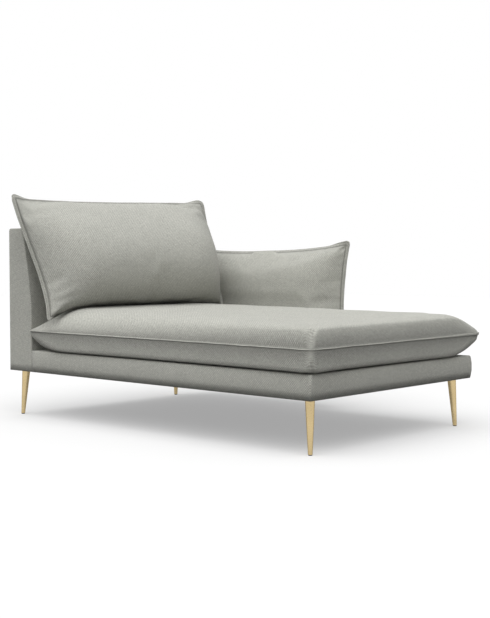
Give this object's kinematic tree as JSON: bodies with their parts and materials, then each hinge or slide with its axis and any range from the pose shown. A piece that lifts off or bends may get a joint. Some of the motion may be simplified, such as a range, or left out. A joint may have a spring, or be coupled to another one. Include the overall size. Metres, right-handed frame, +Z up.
{
  "type": "one-arm chaise longue",
  "caption": "Upholstered chaise longue with one padded arm, a low back, a loose seat cushion, a loose back cushion and splayed brass legs.",
  "frame": {"origin": "on the floor, under the middle of the object's outer box", "axes": "+X across the seat towards the arm, +Y from the foot end to the back, +Z up"},
  "size_m": [1.1472, 1.562, 0.8973],
  "materials": {
    "upholstery_fabric": "coarse basket weave, light warm grey",
    "cushion_fabric": "coarse basket weave, light warm grey",
    "wadding": "fibre wadding",
    "foam": "upholstery foam",
    "cushion_filling": "foam and fibre filling",
    "webbing": "elastic webbing",
    "timber": "sawn softwood",
    "hardboard": "brown hardboard",
    "dust_cloth": "black non-woven cloth",
    "zinc_steel": "zinc-plated steel",
    "leg_brass": "satin brass finish",
    "glide_nylon": "black nylon",
    "zip_tape": "nylon coil zip on tape"
  },
  "bodies": {
    "frame": {"base_cover": "upholstery_fabric", "base_wadding": "wadding", "platform_pad": "foam", "base_webbing": "webbing", "foot_rail": "timber", "side_rails": "timber", "rear_rail": "timber", "cross_rails": "timber", "corner_blocks": "timber", "rail_screws": "zinc_steel", "dust_cloths": "dust_cloth", "back_cover": "upholstery_fabric", "back_end_panels": "upholstery_fabric", "back_foam": "foam", "back_board": "hardboard", "back_posts": "timber", "back_top_rail": "timber", "back_seat_rail": "timber", "back_lower_rail": "timber", "back_bottom_board": "timber", "back_webbing": "webbing", "back_bolts": "zinc_steel", "arm_cover": "upholstery_fabric", "arm_foam": "foam", "arm_posts": "timber", "arm_top_rail": "timber", "arm_bottom_rail": "timber", "arm_panels": "hardboard", "arm_dust_cloth": "dust_cloth", "arm_bolts": "zinc_steel", "tee_nuts": "zinc_steel", "leg_plates": "zinc_steel", "plate_screws": "zinc_steel", "leg_studs": "zinc_steel", "leg_open_front": "leg_brass", "leg_arm_front": "leg_brass", "leg_open_rear": "leg_brass", "leg_arm_rear": "leg_brass", "leg_glides": "glide_nylon"},
    "seat_cushion": {"seat_cushion_cover": "cushion_fabric", "seat_cushion_core": "cushion_filling", "seat_cushion_zip": "zip_tape"},
    "back_cushion": {"back_cushion_cover": "cushion_fabric", "back_cushion_core": "cushion_filling", "back_cushion_zip": "zip_tape"}
  },
  "joints": [
    {"name": "seat_cushion_lift", "type": "slide", "parent": "frame", "child": "seat_cushion", "axis": [0, 0, 1], "range_m": [0, 0.25]},
    {"name": "back_cushion_lift", "type": "slide", "parent": "seat_cushion", "child": "back_cushion", "axis": [0, 0, 1], "range_m": [0, 0.3]}
  ]
}
